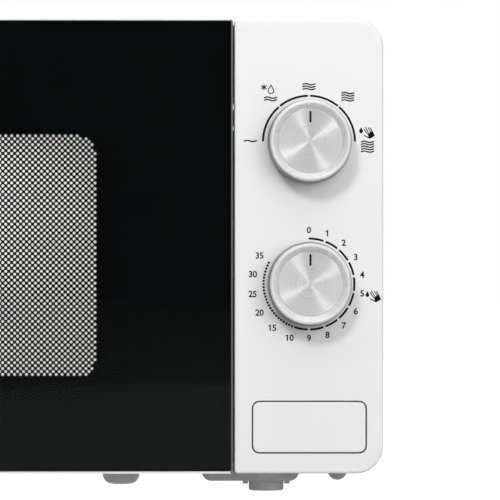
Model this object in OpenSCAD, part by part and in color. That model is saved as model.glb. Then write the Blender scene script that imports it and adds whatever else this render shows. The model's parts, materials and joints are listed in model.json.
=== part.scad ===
// Solo microwave oven with a side-hinged glass door and two rotary dials.
// Millimetres, +Z up, front faces -Y, origin on the floor under the middle of the oven.

/* [Body] */
// Overall width across door and control panel
body_w = 440; // [400:1:520]
// Height of the door and the control panel
front_h = 248; // [236:1:300]
// Height of the lower edge of the front above the floor
foot_h = 11.3; // [8:0.5:20]
// Depth from the face of the door to the screw heads at the back
body_d = 337; // [330:1:420]
// Thickness of the door and of the control panel
front_t = 31; // [30:0.5:36]
// Sheet steel thickness
sheet = 0.8; // [0.6:0.1:1.2]

/* [Cavity] */
// Inside width of the cooking cavity
cav_w = 304; // [290:1:340]
// Inside height of the cooking cavity
cav_h = 202; // [190:1:240]
// Cavity floor above the lower edge of the front
cav_lift = 19.5; // [18:0.5:30]
// Left cavity wall in from the left side of the oven
cav_inset = 20; // [20:1:30]
// Space between the cavity rear wall and the back of the oven
cav_back = 28.5; // [24:0.5:60]
// Radius of the folded corners of the cavity
cavity_r = 3; // [2:0.5:6]

/* [Door] */
// Gap between door and control panel
door_gap = 0.85; // [0.6:0.05:2]
// Visible edge of the white frame round the glass
frame_edge = 1.1; // [0.8:0.1:4]
// Width of the door surround above the glass
frame_top = 0.5; // [0.4:0.1:4]
// Glass thickness
glass_t = 3.2; // [2.5:0.1:5]
// Width of the see-through window
window_w = 222; // [160:1:240]
// Height of the see-through window
window_h = 133; // [110:1:150]
// Hinge axis in from the left edge of the door
hinge_in = 8; // [8:0.5:10]
// Hinge pin diameter
hinge_pin_d = 6; // [4:0.5:8]

/* [Controls] */
// Width of the control panel
panel_w = 81.25; // [78:0.25:100]
// Radius of the outer corners of the control panel
panel_r = 15; // [6:0.5:24]
// Knob diameter at its base
knob_d = 46; // [36:0.5:52]
// Knob diameter at its front rim
knob_tip_d = 44; // [34:0.5:50]
// Diameter of the metal disc in the knob
disc_d = 35.2; // [24:0.2:40]
// How far the knobs stand out in front of the panel
knob_out = 20; // [14:0.5:28]
// Knob centre in from the right edge of the oven
knob_in = 40.3; // [36:0.1:44]
// Power dial centre below the top edge of the panel
power_drop = 66.9; // [56:0.1:72]
// Timer dial centre below the top edge of the panel
timer_drop = 144.6; // [132:0.1:152]
// Dial shaft diameter
shaft_d = 6; // [5:0.5:8]
// Door button width
button_w = 61.5; // [50:0.5:64]
// Door button height
button_h = 27.5; // [20:0.5:30]
// Door button centre above the lower edge of the panel
button_up = 25.3; // [22:0.1:28]
// Gap round the door button
button_gap = 0.7; // [0.4:0.05:1.2]

/* [Turntable] */
// Glass tray diameter
tray_d = 245; // [220:1:256]
// Roller wheel diameter
wheel_d = 13.7; // [10:0.1:16]
// Radius of the circle the wheels run on
wheel_run = 97; // [90:1:104]

/* [Fits] */
// Running clearance on radius for shafts and pins
run = 0.05; // [0.01:0.01:0.1]

/* [Hidden] */
$fn = 64;
e = 0.5;
xr = body_w / 2;
xl = -xr;
zb = foot_h;
zt = foot_h + front_h;
yf = -(body_d - knob_out) / 2;
yr = (body_d + knob_out) / 2;
ydb = yf + front_t;
yp = ydb + 0.5;
yc = yp + sheet;
ycase = yr - 2;
yrear = ycase - sheet;
px0 = xr - panel_w;
dx1 = px0 - door_gap;
cx0 = xl + cav_inset;
cx1 = cx0 + cav_w;
cz0 = zb + cav_lift;
cz1 = cz0 + cav_h;
cy1 = yr - cav_back;
tx = (cx0 + cx1) / 2;
ty = (yc + cy1) / 2;
wz = zb + front_h / 2 - 5.2;
wx0 = tx - window_w / 2 + 0.4;
wx1 = tx + window_w / 2 + 0.4;
wz0 = wz - window_h / 2;
wz1 = wz + window_h / 2;
hx = xl + hinge_in;
hy = ydb - 12.5;
hr = hinge_pin_d / 2;
kx = xr - knob_in;
kz1 = zt - power_drop;
kz2 = zt - timer_drop;
bz = zb + button_up;
bx = kx - 0.1;
yg = yf + glass_t;
yw = yg + 2.2;
ybr = yc + 2.2;
hk0 = px0 - 17.75;
hk1 = hk0 + 6;
lx0 = cx1 + 8;
pivy = yc + 10.2;
pivz = zb + 55.5;
fx = xr - 58;
fz = zb + 179.5;
mx = cx1 + sheet + 23;
my = yc + 190.2;
mz = zb + 165.5;
wr = wheel_d / 2;
wzc = cz0 + 0.3 + wr;
zt_tray = wzc + wr + 0.3;
foot_x = xr - 63;
pad_low = zb - 5.5;
pad_x = foot_x - 9;

module box(x0, x1, y0, y1, z0, z1) {
  translate([x0, y0, z0])
    cube([x1 - x0, y1 - y0, z1 - z0]);
}

module ycyl(x, z, y0, y1, r) {
  translate([x, y1, z])
    rotate([90, 0, 0])
      cylinder(r = r, h = y1 - y0);
}

module xcyl(y, z, x0, x1, r) {
  translate([x0, y, z])
    rotate([0, 90, 0])
      cylinder(r = r, h = x1 - x0);
}

module zcyl(x, y, z0, z1, r) {
  translate([x, y, z0])
    cylinder(r = r, h = z1 - z0);
}

module rrect(x0, x1, z0, z1, r) {
  translate([x0 + r, z0])
    square([x1 - x0 - 2 * r, z1 - z0]);
  translate([x0, z0 + r])
    square([x1 - x0, z1 - z0 - 2 * r]);
  for (x = [x0 + r, x1 - r])
    for (z = [z0 + r, z1 - r])
      translate([x, z])
        circle(r = r);
}

module yrect(x0, x1, z0, z1, y0, y1, r) {
  translate([0, y1, 0])
    rotate([90, 0, 0])
      linear_extrude(height = y1 - y0)
        rrect(x0, x1, z0, z1, r);
}

module zrect(x0, x1, y0, y1, z0, z1, r) {
  translate([0, 0, z0])
    linear_extrude(height = z1 - z0)
      rrect(x0, x1, y0, y1, r);
}

// Arch outline: rounded at the top, square at the bottom
module arch(x0, x1, z0, z1, y0, y1, r) {
  yrect(x0, x1, z0, z1, y0, y1, r);
  box(x0, x1, y0, y1, z0, (z0 + z1) / 2);
}

// Coil of round wire standing on +Z
function coil_points(r, w, pitch, turns, n, m) = [
  for (i = [0 : turns * n])
    for (j = [0 : m - 1])
      let (a = 360 * i / n, b = 360 * j / m)
        [(r + w * cos(b)) * cos(a), (r + w * cos(b)) * sin(a), pitch * i / n + w * sin(b)]
];

function coil_faces(k, m) = concat(
  [[for (j = [0 : m - 1]) j]],
  [for (i = [0 : k - 1]) for (j = [0 : m - 1])
    [i * m + j, (i + 1) * m + j, (i + 1) * m + (j + 1) % m]],
  [for (i = [0 : k - 1]) for (j = [0 : m - 1])
    [i * m + j, (i + 1) * m + (j + 1) % m, i * m + (j + 1) % m]],
  [[for (j = [m - 1 : -1 : 0]) k * m + j]]
);

module coil(r, w, len, turns) {
  translate([0, 0, w])
    polyhedron(points = coil_points(r, w, (len - 2 * w) / turns, turns, 18, 8),
      faces = coil_faces(turns * 18, 8));
}

// ---------- housing ----------

module outer_case() {
  color("#efeeea")
    difference() {
      yrect(xl + 1, xr - 1, zb, zt - 0.9, yc, ycase, panel_r);
      yrect(xl + 1 + sheet, xr - 1 - sheet, zb + sheet, zt - 0.9 - sheet, yc - e, yrear, panel_r - sheet);
      arch(xl + 13, xr - 13, zb - 40, zt - 13, yc - e, ycase + e, 5);
      for (i = [0 : 13])
        for (x = [xl + 0.5, xr - 3])
          box(x, x + 2.5, cy1 - 96 + i * 8, cy1 - 92.6 + i * 8, zt - 62, zt - 30);
      for (i = [0 : 13])
        box(xr - 3, xr - 0.5, cy1 - 96 + i * 8, cy1 - 92.6 + i * 8, zt - 106, zt - 74);
      for (z = [zb + 30, zt - 60])
        for (x = [xl + 7.5, xr - 7.5])
          ycyl(x, z, yrear - e, ycase + e, 2.1);
      for (x = [xl + 60, xr - 60])
        ycyl(x, zt - 7.4, yrear - e, ycase + e, 2.1);
    }
}

module rear_panel() {
  color("#c9cac8")
    difference() {
      yrect(xl + 2.2, xr - 2.2, zb + sheet, zt - 2.1, yrear - sheet, yrear, panel_r - sheet);
      for (i = [-5 : 5])
        let (h = i * 7, w = sqrt(42 * 42 - h * h))
          box(fx - w, fx + w, yrear - 2, yrear + e, fz + h - 1.7, fz + h + 1.7);
      for (i = [0 : 9])
        box(cx0 + 20 + i * 11, cx0 + 26 + i * 11, yrear - 2, yrear + e, zt - 48, zt - 26);
      for (z = [zb + 30, zt - 60])
        for (x = [xl + 7.5, xr - 7.5])
          ycyl(x, z, yrear - 2, yrear + e, 2.1);
      for (x = [xl + 60, xr - 60])
        ycyl(x, zt - 7.4, yrear - 2, yrear + e, 2.1);
      ycyl(xr - 30, zb + 28, yrear - 2, yrear + e, 8);
    }
}

// Pressed pad hanging from the base plate, open on its upper side
module pad(x0, x1, y0, y1, low) {
  difference() {
    intersection() {
      zrect(x0, x1, y0, y1, low, zb + 0.1, 5);
      yrect(x0, x1, low, zb + 12, y0 - e, y1 + e, 5.4);
    }
    intersection() {
      zrect(x0 + sheet, x1 - sheet, y0 + sheet, y1 - sheet, low + sheet, zb + e, 4.2);
      yrect(x0 + sheet, x1 - sheet, low + sheet, zb + 12, y0 - e, y1 + e, 4.6);
    }
  }
}

module base_plate() {
  color("#8d8e8c")
    difference() {
      union() {
        difference() {
          box(xl + 13.2, xr - 13.2, yc, yrear - sheet, zb, zb + sheet);
          for (s = [-1, 1])
            for (y = [yc + 2, yrear - 50])
              zrect(s * pad_x - 26.2, s * pad_x + 26.2, y + 0.8, y + 39.2, zb - e, zb + 2, 4.2);
          zcyl(foot_x - 80.8, yc + 14, zb - e, zb + 2, 9.6);
          zcyl(foot_x + 39.4, yc + 10, zb - e, zb + 2, 4.6);
          for (i = [0 : 11])
            box(cx1 + 18 + i * 7.5, cx1 + 21.4 + i * 7.5, ty - 78, ty - 48, zb - e, zb + 2);
          for (i = [0 : 9])
            box(cx0 + 18 + i * 9, cx0 + 22 + i * 9, ty + 90, ty + 124, zb - e, zb + 2);
        }
        for (s = [-1, 1])
          box(s * (xr - 13.6) - 0.4, s * (xr - 13.6) + 0.4, yc + 8, yrear - sheet, zb + sheet, zb + 12);
        for (s = [-1, 1])
          for (y = [yc + 2, yrear - 50])
            pad(s * pad_x - 27, s * pad_x + 27, y, y + 40, pad_low);
        for (s = [-1, 1])
          for (x = [s * foot_x - 11.6, s * foot_x + 11.6])
            box(x - 1.45, x + 1.45, yc + 15, yc + 21, zb - 7.6, pad_low + 0.1);
        translate([foot_x - 80.8, yc + 14, zb])
          rotate_extrude()
            polygon([[0, -7.6], [4, -7.6], [6.5, -7.2], [8.2, -6.4], [9.35, -5.1], [10.1, -3.4], [10.4, -1.8],
              [10.4, 0.1], [9.6, 0.1], [9.6, -1.8], [9.35, -3], [8.6, -4.7], [7.6, -5.8], [6.1, -6.45],
              [3.9, -6.8], [0, -6.8]]);
        translate([foot_x + 39.4, yc + 10, zb])
          rotate_extrude()
            polygon(concat([for (i = [0 : 8]) [5.4 * sin(i * 11.25), -5.3 * cos(i * 11.25)]],
              [[5.4, 0.1], [4.6, 0.1]],
              [for (i = [8 : -1 : 0]) [4.6 * sin(i * 11.25), -4.5 * cos(i * 11.25)]]));
      }
      for (s = [-1, 1])
        for (y = [yc + 18, yrear - 30])
          zcyl(s * foot_x, y, zb - 8, zb - 3, 3.1);
    }
}

module feet() {
  color("#7c7d7b")
    for (s = [-1, 1])
      for (y = [yc + 18, yrear - 30])
        translate([s * foot_x, y, 0])
          rotate_extrude()
            polygon([[0, 0], [8.6, 0], [9.35, 0.35], [9.67, 1.1], [9.67, pad_low], [3, pad_low],
              [3, pad_low + sheet], [3.8, pad_low + 1.4], [3, zb - 2], [0, zb - 2]]);
}

module case_screws() {
  color("#b9bab8") {
    for (z = [zb + 30, zt - 60])
      for (x = [xl + 7.5, xr - 7.5])
        screw(x, z);
    for (x = [xl + 60, xr - 60])
      screw(x, zt - 7.4);
  }
}

module screw(x, z) {
  difference() {
    union() {
      ycyl(x, z, ycase, ycase + 2, 3.8);
      ycyl(x, z, yrear - sheet - 4, ycase, 1.9);
    }
    box(x - 2.4, x + 2.4, ycase + 1, ycase + 3, z - 0.5, z + 0.5);
    box(x - 0.5, x + 0.5, ycase + 1, ycase + 3, z - 2.4, z + 2.4);
  }
}

module cord_inlet() {
  color("#2a2a2a")
    difference() {
      union() {
        ycyl(xr - 30, zb + 28, yrear, yrear + 2.4, 11);
        ycyl(xr - 30, zb + 28, yrear - sheet, yrear, 7.9);
        ycyl(xr - 30, zb + 28, yrear - sheet - 2.4, yrear - sheet, 10);
      }
      ycyl(xr - 30, zb + 28, yrear - 8, yrear + 8, 4.2);
    }
}

// ---------- cavity ----------

module cavity_front_plate() {
  color("#e9e8e4")
    difference() {
      union() {
        yrect(xl + 1, 0, zb, zt - 1.5, yp, yc, panel_r);
        box(-100, px0 - 0.75, yp, yc, zb, zt - 1.5);
      }
      yrect(cx0, cx1, cz0, cz1, yp - e, yc + e, cavity_r);
      for (z = [pivz - 8, pivz + 118])
        box(hk0 - 3, hk1 + 3.5, yp - e, yc + e, z, z + 22);
      box(hx - 6.3, hx + 6.3, yp - e, yc + e, zt - 17.8, zt - 15.2);
      box(hx - 6.3, hx + 6.3, yp - e, yc + e, zb + 15.2, zb + 17.8);
    }
}

module cavity_shell() {
  color("#e4e3df")
    difference() {
      arch(cx0 - sheet, cx1 + sheet, cz0, cz1 + sheet, yc, cy1, cavity_r + sheet);
      arch(cx0, cx1, cz0 - e, cz1, yc - e, cy1 + e, cavity_r);
      box(cx1 - e, cx1 + 2, my - 52, my - 8, mz - 26, mz + 22);
      for (i = [0 : 5])
        for (j = [0 : 4])
          xcyl(yc + 60 + i * 4.8, cz1 - 40 + j * 4.8, cx1 - e, cx1 + 2, 1.6);
      for (i = [0 : 8])
        for (j = [0 : 4])
          xcyl(ty + 56 + i * 5.6, cz1 - 48 + j * 5.6, cx0 - 2, cx0 + e, 1.8);
    }
}

module cavity_floor() {
  color("#e4e3df")
    difference() {
      union() {
        box(cx0 - sheet, cx1 + sheet, yc, cy1, cz0 - sheet, cz0);
        translate([tx, ty, cz0])
          rotate_extrude()
            polygon([[108, 0], [112, 0], [111, 0.2], [109, 0.2]]);
      }
      zcyl(tx, ty, cz0 - 2, cz0 + 2, 5);
    }
}

module cavity_rear_wall() {
  color("#e4e3df") {
    arch(cx0 - sheet, cx1 + sheet, cz0 - sheet, cz1 + sheet, cy1, cy1 + sheet, cavity_r + sheet);
    difference() {
      yrect(tx - 110, tx + 110, cz0 + 40, cz1 - 40, cy1 + sheet, cy1 + sheet + 2, 12);
      yrect(tx - 108, tx + 108, cz0 + 42, cz1 - 42, cy1 + sheet - e, cy1 + 5, 10);
    }
  }
}

module waveguide() {
  color("#b4b6b4")
    difference() {
      box(cx1 + sheet, mx, my - 68, my + 36, mz - 38, mz + 38);
      box(cx1, mx - 1, my - 67, my + 35, mz - 37, mz + 37);
      xcyl(my, mz, mx - 3, mx + e, 12);
    }
}

module waveguide_cover() {
  color("#c8bda0")
    yrect_x(cx1 - 0.6, cx1, my - 60, my, mz - 34, mz + 30, 4);
}

// Rounded rectangle standing across X
module yrect_x(x0, x1, y0, y1, z0, z1, r) {
  translate([x0, 0, 0])
    rotate([90, 0, 90])
      linear_extrude(height = x1 - x0)
        rrect(y0, y1, z0, z1, r);
}

// ---------- microwave source ----------

module magnetron_tube() {
  color("#c47a52") {
    xcyl(my, mz, mx + 1.5, mx + 51.7, 19.6);
    xcyl(my, mz, mx - 4, mx + 1.5, 9.5);
    xcyl(my, mz, mx - 18, mx - 4, 7);
  }
}

module magnetron_yoke() {
  color("#9da09f")
    difference() {
      box(mx, mx + 53.2, my - 42, my + 42, mz - 38, mz + 38);
      box(mx + 1.5, mx + 51.7, my - 43, my + 43, mz - 36.5, mz + 36.5);
      xcyl(my, mz, mx - e, mx + 2, 9.6);
    }
}

module magnetron_fins() {
  color("#cfd1d0")
    for (i = [0 : 9])
      difference() {
        box(mx + 7 + i * 4, mx + 7.7 + i * 4, my - 35, my + 35, mz - 34, mz + 34);
        xcyl(my, mz, mx, mx + 60, 19.65);
      }
}

module magnetron_filter_box() {
  color("#a9abaa") {
    box(mx + 53.2, mx + 80, my - 28, my + 28, mz - 26, mz + 26);
    box(mx + 60, mx + 74, my - 36, my - 28, mz - 8, mz + 8);
  }
}

// ---------- supply ----------

module transformer_core() {
  color("#4d4b48") {
    difference() {
      box(cx1 + 16, cx1 + 100, ty - 52, ty + 2, zb + sheet + 4, zb + 74.8);
      for (x = [cx1 + 30, cx1 + 72])
        box(x, x + 14, ty - 53, ty + 3, zb + 18.5, zb + 61.5);
    }
    box(cx1 + 12, cx1 + 101, ty - 46, ty - 4, zb + sheet, zb + sheet + 4);
  }
}

module transformer_windings() {
  color("#a8642c")
    for (z = [zb + 19.5, zb + 41.5])
      difference() {
        zrect(cx1 + 30.3, cx1 + 85.7, ty - 64, ty + 14, z, z + 19, 5);
        box(cx1 + 43.7, cx1 + 72.3, ty - 52.3, ty + 2.3, z - e, z + 20);
      }
}

module hv_capacitor() {
  color("#c3c5c4") {
    yrect(cx1 + 20, cx1 + 56, zb + 13.5, zb + 67.5, ty + 32, ty + 122, 17.9);
    for (z = [zb + 30, zb + 51])
      ycyl(cx1 + 38, z, ty + 24, ty + 32, 3.4);
  }
}

module capacitor_clamp() {
  color("#9c9e9d") {
    difference() {
      yrect(cx1 + 18.9, cx1 + 57.1, zb + 12.4, zb + 68.6, ty + 70, ty + 82, 19);
      yrect(cx1 + 20.1, cx1 + 55.9, zb + 13.6, zb + 67.4, ty + 69, ty + 83, 17.8);
      yrect(cx1 + 20, cx1 + 56, zb + 13.5, zb + 67.5, ty + 69, ty + 83, 17.9);
    }
    box(cx1 + 34, cx1 + 42, ty + 70, ty + 82, zb + sheet, zb + 12.6);
    box(cx1 + 24, cx1 + 52, ty + 70, ty + 82, zb + sheet, zb + sheet + 1.2);
  }
}

module hv_diode() {
  color("#1f1f1f") {
    ycyl(cx1 + 68, zb + 12, ty + 36, ty + 58, 3);
    ycyl(cx1 + 68, zb + 12, ty + 30, ty + 36, 0.8);
    ycyl(cx1 + 68, zb + 12, ty + 58, ty + 66, 0.8);
    box(cx1 + 64, cx1 + 72, ty + 65, ty + 67, zb + sheet, zb + 15);
    box(cx1 + 64, cx1 + 72, ty + 67, ty + 77, zb + sheet, zb + sheet + 1.2);
  }
}

module filter_board() {
  color("#2f6b3c") {
    box(cx1 + 12, cx1 + 72, yrear - 16, yrear - 14.4, zb + 84, zb + 142 - 34);
    for (x = [cx1 + 17, cx1 + 67])
      for (z = [zb + 88, zb + 104])
        ycyl(x, z, yrear - 14.4, yrear - sheet, 3);
    box(cx1 + 18, cx1 + 34, yrear - 29, yrear - 16, zb + 86, zb + 105);
    ycyl(cx1 + 46, zb + 96, yrear - 28, yrear - 16, 7);
    box(cx1 + 58, cx1 + 68, yrear - 22, yrear - 16, zb + 87, zb + 106);
  }
}

// ---------- cooling and light ----------

module fan_motor() {
  color("#8a8c8b")
    difference() {
      union() {
        box(fx - 24, fx + 24, yrear - 60, yrear - 44, fz - 18, fz + 18);
        ycyl(fx, fz, yrear - 64, yrear - 41, 10);
        for (s = [-1, 1])
          ycyl(fx + s * 18, fz, yrear - 44, yrear - 39.7, 3.5);
      }
      ycyl(fx, fz, yrear - 58, yrear - 40, 2 + run);
    }
}

module fan_duct() {
  color("#dedfdd")
    difference() {
      union() {
        box(fx - 48, fx + 48, yrear - 39.7, yrear - 37.7, fz - 48, fz + 48);
        ycyl(fx, fz, yrear - 37.7, yrear - 6, 46);
        for (x = [fx - 42, fx + 42])
          for (z = [fz - 42, fz + 42])
            ycyl(x, z, yrear - 37.7, yrear - sheet, 4);
      }
      difference() {
        ycyl(fx, fz, yrear - 50, yrear - 5, 44);
        box(fx - 50, fx + 50, yrear - 40, yrear - 37.7, fz - 6, fz + 6);
      }
      ycyl(fx, fz, yrear - 50, yrear - 30, 4);
    }
}

module fan_shaft() {
  color("#b0b2b1")
    ycyl(fx, fz, yrear - 57, yrear - 12, 2);
}

module fan_blade() {
  color("#3a3f45")
    difference() {
      union() {
        ycyl(fx, fz, yrear - 33, yrear - 11, 11);
        intersection() {
          difference() {
            ycyl(fx, fz, yrear - 32, yrear - 12, 42);
            ycyl(fx, fz, yrear - 34, yrear - 10, 10);
          }
          for (i = [0 : 4])
            translate([fx, yrear - 22, fz])
              rotate([0, i * 72, 0])
                rotate([0, 0, 34])
                  translate([-15, -0.7, 0])
                    cube([30, 1.4, 46]);
        }
      }
      ycyl(fx, fz, yrear - 40, yrear - 11.9, 2);
    }
}

module lamp_holder() {
  color("#d8d8d4")
    difference() {
      box(cx1 + sheet, cx1 + 28, yc + 56, yc + 88, cz1 - 46, cz1 - 14);
      box(cx1, cx1 + 26, yc + 57.2, yc + 86.8, cz1 - 44.8, cz1 - 15.2);
    }
}

module oven_lamp() {
  color("#fff3cf") {
    xcyl(yc + 72, cz1 - 30, cx1 + 17, cx1 + 26, 5);
    translate([cx1 + 12, yc + 72, cz1 - 30])
      rotate([0, 90, 0])
        rotate_extrude()
          intersection() {
            circle(r = 9);
            translate([0, -10])
              square([10, 20]);
          }
  }
}

module thermal_cutouts() {
  color("#b98d4a") {
    translate([tx + 40, ty + 60, cz1 + sheet])
      cutout();
    translate([mx + 26, my, mz + 38])
      cutout();
  }
}

module cutout() {
  cylinder(r = 8, h = 6);
  translate([0, 0, 6])
    cylinder(r = 6, h = 2);
  for (s = [-1, 1])
    translate([s * 4 - 0.4, -3, 8])
      cube([0.8, 6, 4]);
}

// ---------- turntable ----------

module turntable_motor() {
  color("#a9aba9")
    difference() {
      union() {
        zcyl(tx, ty, cz0 - sheet - 14.4, cz0 - sheet, 24);
        for (s = [-1, 1])
          box(tx + s * 28 - 7, tx + s * 28 + 7, ty - 5, ty + 5, cz0 - sheet - 1.5, cz0 - sheet);
      }
      zcyl(tx, ty, cz0 - sheet - 12, cz0, 3.5 + run);
    }
}

module turntable_shaft() {
  color("#d9d9d6")
    zcyl(tx, ty, cz0 - sheet - 11, cz0 + 11, 3.5);
}

module turntable_coupler() {
  color("#e6e2d6")
    difference() {
      union() {
        zcyl(tx, ty, cz0 + 0.8, zt_tray - 0.3, 9);
        for (a = [90, 210, 330])
          translate([tx, ty, cz0 + 5])
            rotate([0, 0, a])
              zrect(0, 19, -4, 4, 0, zt_tray - 0.3 - cz0 - 5, 3.9);
      }
      zcyl(tx, ty, cz0, cz0 + 11.2, 3.52);
    }
}

module glass_tray() {
  color("#cfe3e0", 0.6) {
    translate([tx, ty, 0])
      rotate_extrude()
        polygon([[0, zt_tray], [108, zt_tray], [tray_d / 2 - 0.8, zt_tray + 12], [tray_d / 2, zt_tray + 13.4],
          [tray_d / 2 - 1.6, zt_tray + 14.6], [tray_d / 2 - 3.4, zt_tray + 14], [107, zt_tray + 4],
          [0, zt_tray + 4]]);
    for (a = [30, 150, 270])
      translate([tx + 14.5 * cos(a), ty + 14.5 * sin(a), cz0 + 8])
        cylinder(r = 3.2, h = zt_tray - cz0 - 7);
  }
}

module roller_ring() {
  color("#ece9df") {
    translate([tx, ty, wzc])
      rotate_extrude()
        translate([wheel_run - 13, -2.6])
          square([6, 5.2]);
    for (a = [0, 120, 240])
      translate([tx, ty, wzc])
        rotate([0, 0, a]) {
          rotate([0, 90, 0])
            translate([0, 0, wheel_run - 8])
              cylinder(r = 2, h = 13.5);
          rotate([0, 90, 0])
            translate([0, 0, wheel_run + 4.3])
              cylinder(r = 2.9, h = 1.2);
        }
  }
}

module wheel(a) {
  color("#f3f1ea")
    translate([tx, ty, wzc])
      rotate([0, 0, a])
        rotate([0, 90, 0])
          translate([0, 0, wheel_run - 4])
            difference() {
              union() {
                cylinder(r = wr, h = 6);
                cylinder(r = 4.4, h = 8);
              }
              translate([0, 0, -1])
                cylinder(r = 2 + run, h = 10);
            }
}

module wheel_a() {
  wheel(0);
}

module wheel_b() {
  wheel(120);
}

module wheel_c() {
  wheel(240);
}

// ---------- controls ----------

module panel_outline(d) {
  rrect(px0 + d, xr - d, zb + d, zt - d, panel_r - d);
  rrect(px0 + d, (px0 + xr) / 2, zb + d, zt - d, 1.6);
}

module panel_block(y0, y1, d) {
  translate([0, y1, 0])
    rotate([90, 0, 0])
      linear_extrude(height = y1 - y0)
        panel_outline(d);
}

module control_panel() {
  bw = button_w / 2 + button_gap;
  bh = button_h / 2 + button_gap;
  color("#f4f4f2")
    difference() {
      union() {
        difference() {
          panel_block(yf, yc, 0);
          panel_block(yf + 3, yc + e, 2.4);
        }
        for (x = [kx - 29.5, kx + 29.5])
          for (z = [kz2 - 33, kz1 + 46])
            ycyl(x, z, yf + 2, ybr, 4);
        difference() {
          yrect(bx - bw - 1.6, bx + bw + 1.6, bz - bh - 1.6, bz + bh + 1.6, yf + 2, yf + 20.5, 5.8);
          yrect(bx - bw, bx + bw, bz - bh, bz + bh, yf + 1, yf + 18.5, 4.2);
        }
        for (z = [kz1, kz2])
          ycyl(kx, z, yf + 2, yf + 7, 9);
      }
      yrect(bx - bw, bx + bw, bz - bh, bz + bh, yf - e, yf + 4, 4.2);
      ycyl(bx, bz, yf + 10, yf + 24, 4 + run);
      for (z = [kz1, kz2])
        ycyl(kx, z, yf - e, yf + 8, 5.95 + run);
      for (x = [kx - 29.5, kx + 29.5])
        for (z = [kz2 - 33, kz1 + 46])
          ycyl(x, z, ybr - 12, ybr + e, 1.3);
    }
}

module control_bracket() {
  color("#aeb0ae")
    difference() {
      union() {
        box(kx - 34, kx + 34, ybr, ybr + sheet, kz2 - 38, kz1 + 54);
        box(kx + 33.2, kx + 34, ybr + sheet, ybr + 16, kz2 - 20, kz1 + 40);
      }
      for (z = [kz1, kz2])
        ycyl(kx, z, ybr - e, ybr + 2, 5);
      for (x = [kx - 29.5, kx + 29.5])
        for (z = [kz2 - 33, kz1 + 46])
          ycyl(x, z, ybr - e, ybr + 2, 1.7);
    }
}

module timer_unit() {
  color("#d9cfae")
    difference() {
      union() {
        box(kx - 29.5, kx + 29.5, ybr + sheet, ybr + 31, kz2 - 27, kz2 + 28);
        ycyl(kx, kz2, ybr + 31, ybr + 34, 5);
        ycyl(kx, kz2, ybr + 34, ybr + 42, 24);
        box(kx - 20, kx - 10, ybr + 31, ybr + 38, kz2 + 25.5, kz2 + 27.5);
      }
      ycyl(kx, kz2, ybr - e, ybr + 14, shaft_d / 2 + run);
    }
}

module power_selector() {
  color("#e1ddd0")
    difference() {
      union() {
        box(kx - 20.5, kx + 20.5, ybr + sheet, ybr + 24, kz1 - 22, kz1 + 21);
        ycyl(kx, kz1, ybr + 24, ybr + 36, 16);
        box(kx + 6, kx + 14, ybr + 24, ybr + 32, kz1 + 18, kz1 + 20);
      }
      ycyl(kx, kz1, ybr - e, ybr + 14, shaft_d / 2 + run);
    }
}

// Knob of revolution standing on -Y: skirt, dished front, hub through the panel
module knob(z) {
  kr = knob_d / 2;
  tr = knob_tip_d / 2;
  dr = disc_d / 2;
  out = knob_out;
  color("#f6f6f4")
    translate([kx, yf, z])
      rotate([90, 0, 0])
        rotate_extrude()
          polygon([[shaft_d / 2 + 0.02, -9], [5.95, -9], [5.95, 12], [kr - 2.8, 12], [kr - 2.4, 0.5],
            [kr, 0.5], [tr + 0.2, out - 1.2], [tr - 0.2, out - 0.3], [tr - 0.8, out],
            [dr, out - 2.6], [dr, out - 3.4], [shaft_d / 2 + 0.02, out - 3.4]]);
}

module disc(z) {
  color("#c4c6c8")
    translate([kx, yf, z])
      rotate([90, 0, 0])
        difference() {
          translate([0, 0, knob_out - 3.4])
            cylinder(r = disc_d / 2 - 0.05, h = 0.8);
          translate([-0.55, 9.9, knob_out - 2.9])
            cube([1.1, 6.2, 1]);
        }
}

module shaft(z) {
  color("#b7b9b8")
    difference() {
      ycyl(kx, z, yf - knob_out + 5, ybr + 13, shaft_d / 2);
      box(kx - 4, kx + 4, yf - knob_out, yf - 1, z - 4, z - 1.6);
    }
}

module power_knob() {
  knob(kz1);
}

module power_disc() {
  disc(kz1);
}

module power_shaft() {
  shaft(kz1);
}

module timer_knob() {
  knob(kz2);
}

module timer_disc() {
  disc(kz2);
}

module timer_shaft() {
  shaft(kz2);
}

// ---------- door release ----------

module door_button() {
  color("#f0f0ee") {
    difference() {
      yrect(bx - button_w / 2, bx + button_w / 2, bz - button_h / 2, bz + button_h / 2, yf, yf + 11.5, 3.6);
      yrect(bx - button_w / 2 + 2, bx + button_w / 2 - 2, bz - button_h / 2 + 2, bz + button_h / 2 - 2,
        yf + 2.5, yf + 12, 1.8);
    }
    ycyl(bx, bz, yf + 2, yc - 0.1, 4);
  }
}

module button_spring() {
  color("#9fa1a0")
    translate([bx, yf + 18.4, bz])
      rotate([90, 0, 0])
        coil(6.2, 0.5, 15.8, 6);
}

module release_lever() {
  color("#d5d6d3")
    difference() {
      union() {
        xcyl(pivy, pivz, hk1 + 7.5, hk1 + 17.5, 6);
        box(hk1 + 11, hk1 + 17, pivy - 5, pivy + 1, pivz - 36, pivz - 2);
        box(hk1 + 11, bx + 4, yc + 0.5, pivy - 3, pivz - 37, pivz - 23);
        box(hk1 + 7.5, hk1 + 11.2, pivy + 4, pivy + 14.5, pivz - 4, pivz);
        box(hk1 + 7.5, hk1 + 11.2, pivy + 9.5, pivy + 14.5, pivz - 7.2, pivz);
        box(hk0 - 2, hk1 + 9, pivy + 9.5, pivy + 14.5, pivz - 7.2, pivz - 4.4);
      }
      xcyl(pivy, pivz, hk1 + 7, hk1 + 18, 3 + run);
    }
}

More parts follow.
